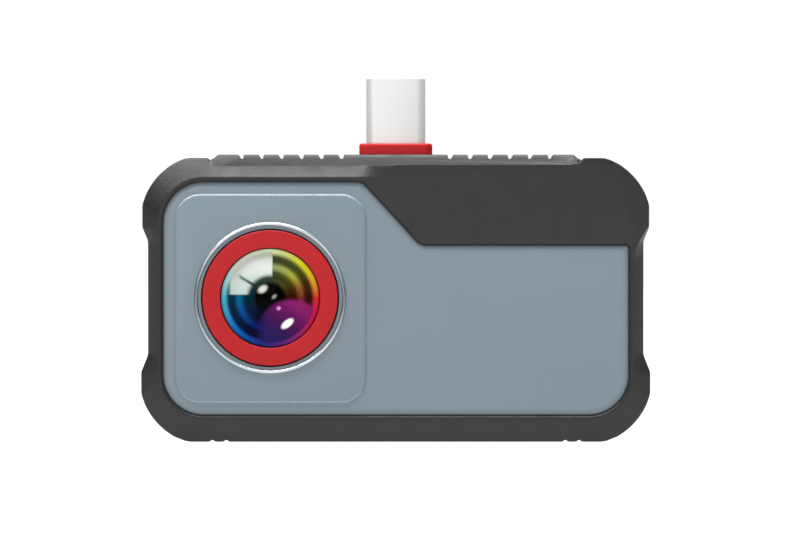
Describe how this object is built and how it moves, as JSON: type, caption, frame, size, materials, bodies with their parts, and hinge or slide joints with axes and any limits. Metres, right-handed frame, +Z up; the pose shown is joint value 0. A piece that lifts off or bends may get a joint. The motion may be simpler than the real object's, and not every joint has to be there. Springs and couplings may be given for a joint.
{
  "type": "thermal imaging camera",
  "caption": "Plug-in thermal imaging camera for a phone: flat rubber-framed case, one front lens, an internal calibration shutter and a USB-C plug on top.",
  "frame": {"origin": "middle of the flat bottom edge on which the camera stands, centred in its width and thickness", "axes": "+X to the right seen from the lens side, +Z up along the plug, the lens looks along -Y"},
  "size_m": [0.0708, 0.014, 0.0505],
  "materials": {
    "black_rubber": "fine matt moulded texture",
    "black_nylon": "fine spark-eroded matt",
    "grey_blue_panel": "satin metallic grey-blue paint",
    "adhesive_film": "matt black",
    "seal_rubber": "matt",
    "red_ring": "satin red anodised",
    "red_collar": "satin moulded",
    "coated_lens": "polished, multi-layer coated",
    "black_anodised": "matt black anodised",
    "plug_steel": "satin nickel plated",
    "screw_steel": "blackened",
    "blade_paint": "matt black",
    "magnet_plate": "nickel plated",
    "yoke_iron": "stamped",
    "bobbin_nylon": "moulded",
    "enamelled_copper": "enamelled copper wire",
    "package_ceramic": "matt",
    "germanium": "polished germanium",
    "array_silicon": "polished silicon",
    "solder_mask": "green solder mask",
    "chip_epoxy": "moulded epoxy",
    "connector_nylon": "moulded",
    "polyimide_flex": "polyimide film",
    "tinned_can": "tinned",
    "silicone_pad": "soft gap filler",
    "spreader_aluminium": "mill finish",
    "contact_gold": "gold plated",
    "insulator_lcp": "moulded"
  },
  "bodies": {
    "camera_body": {"rubber_bumper_frame": "black_rubber", "front_shell": "black_nylon", "rear_shell": "black_nylon", "face_panel": "grey_blue_panel", "panel_adhesive": "adhesive_film", "case_gasket": "seal_rubber", "lens_ring": "red_ring", "ring_seal": "seal_rubber", "front_lens": "coated_lens", "lens_spacer": "black_anodised", "lens_barrel": "black_anodised", "rear_lens": "germanium", "lens_retainer": "black_anodised", "lens_mount": "black_anodised", "shutter_base": "black_nylon", "shutter_pin": "screw_steel", "shutter_yoke": "yoke_iron", "coil_bobbin": "bobbin_nylon", "shutter_coil": "enamelled_copper", "detector_window": "germanium", "detector_array": "array_silicon", "detector_package": "package_ceramic", "sensor_board": "solder_mask", "sensor_connector": "connector_nylon", "flex_cable": "polyimide_flex", "main_board": "solder_mask", "board_connector": "connector_nylon", "processor": "chip_epoxy", "shield_can": "tinned_can", "thermal_pad": "silicone_pad", "heat_spreader": "spreader_aluminium", "memory_chip": "chip_epoxy", "power_chip": "chip_epoxy", "power_inductor": "chip_epoxy", "clock_crystal": "tinned_can", "plug_shell": "plug_steel", "plug_insulator": "insulator_lcp", "plug_contacts_front": "contact_gold", "plug_contacts_rear": "contact_gold", "plug_latch_plate": "plug_steel", "plug_collar": "red_collar", "plug_bracket": "screw_steel", "case_screw_1": "screw_steel", "case_screw_2": "screw_steel", "case_screw_3": "screw_steel", "case_screw_4": "screw_steel", "mount_screw_1": "screw_steel", "mount_screw_2": "screw_steel", "mount_screw_3": "screw_steel", "board_screw_1": "screw_steel", "board_screw_2": "screw_steel", "board_screw_3": "screw_steel", "bracket_screw_1": "screw_steel", "bracket_screw_2": "screw_steel"},
    "shutter": {"shutter_blade": "blade_paint", "shutter_magnet": "magnet_plate"}
  },
  "joints": [
    {"name": "shutter_swing", "type": "hinge", "parent": "camera_body", "child": "shutter", "pos_m": [-0.0066, 0.0009, 0.02], "axis": [0, -1, 0], "range_deg": [0, 48]}
  ]
}
